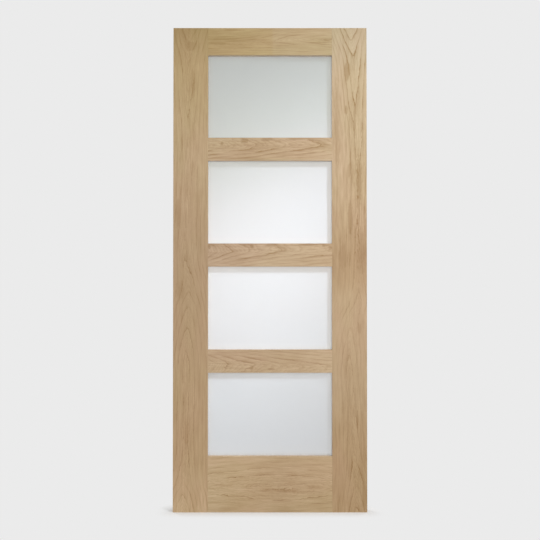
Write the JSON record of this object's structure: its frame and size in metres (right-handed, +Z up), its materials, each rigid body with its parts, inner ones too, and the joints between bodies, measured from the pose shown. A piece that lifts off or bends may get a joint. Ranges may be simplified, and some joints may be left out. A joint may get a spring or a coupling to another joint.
{
  "type": "glazed interior door",
  "caption": "Flat oak door leaf: square-edged stiles and rails around a column of equal obscure glass lights, beaded from the back. No frame, hinges or handle.",
  "frame": {"origin": "on the outer face of the hinge edge, at half the thickness, at the foot of the leaf", "axes": "+X across the leaf from the hinge edge to the lock edge, +Y from the front face to the back face, +Z up"},
  "size_m": [0.813, 0.035, 2.032],
  "materials": {
    "oak_veneer": "satin clear lacquer over oak veneer",
    "solid_oak": "satin clear lacquer over solid oak",
    "core_timber": "sawn and glued, bare at the ends",
    "obscure_glass": "satin, evenly frosted"
  },
  "bodies": {
    "root": {"beads_1_horizontal": "solid_oak", "beads_1_vertical": "solid_oak", "beads_2_horizontal": "solid_oak", "beads_2_vertical": "solid_oak", "beads_3_horizontal": "solid_oak", "beads_3_vertical": "solid_oak", "beads_4_horizontal": "solid_oak", "beads_4_vertical": "solid_oak", "bottom_rail_back_veneer": "oak_veneer", "bottom_rail_core": "core_timber", "bottom_rail_front_veneer": "oak_veneer", "bottom_rail_lippings": "solid_oak", "glass_1": "obscure_glass", "glass_2": "obscure_glass", "glass_3": "obscure_glass", "glass_4": "obscure_glass", "left_stile_back_veneer": "oak_veneer", "left_stile_core": "core_timber", "left_stile_edge_lipping": "solid_oak", "left_stile_front_veneer": "oak_veneer", "left_stile_light_lipping": "solid_oak", "mid_rail_1_back_veneer": "oak_veneer", "mid_rail_1_core": "core_timber", "mid_rail_1_front_veneer": "oak_veneer", "mid_rail_1_lippings": "solid_oak", "mid_rail_2_back_veneer": "oak_veneer", "mid_rail_2_core": "core_timber", "mid_rail_2_front_veneer": "oak_veneer", "mid_rail_2_lippings": "solid_oak", "mid_rail_3_back_veneer": "oak_veneer", "mid_rail_3_core": "core_timber", "mid_rail_3_front_veneer": "oak_veneer", "mid_rail_3_lippings": "solid_oak", "right_stile_back_veneer": "oak_veneer", "right_stile_core": "core_timber", "right_stile_edge_lipping": "solid_oak", "right_stile_front_veneer": "oak_veneer", "right_stile_light_lipping": "solid_oak", "top_rail_back_veneer": "oak_veneer", "top_rail_core": "core_timber", "top_rail_front_veneer": "oak_veneer", "top_rail_lippings": "solid_oak"}
  },
  "joints": []
}
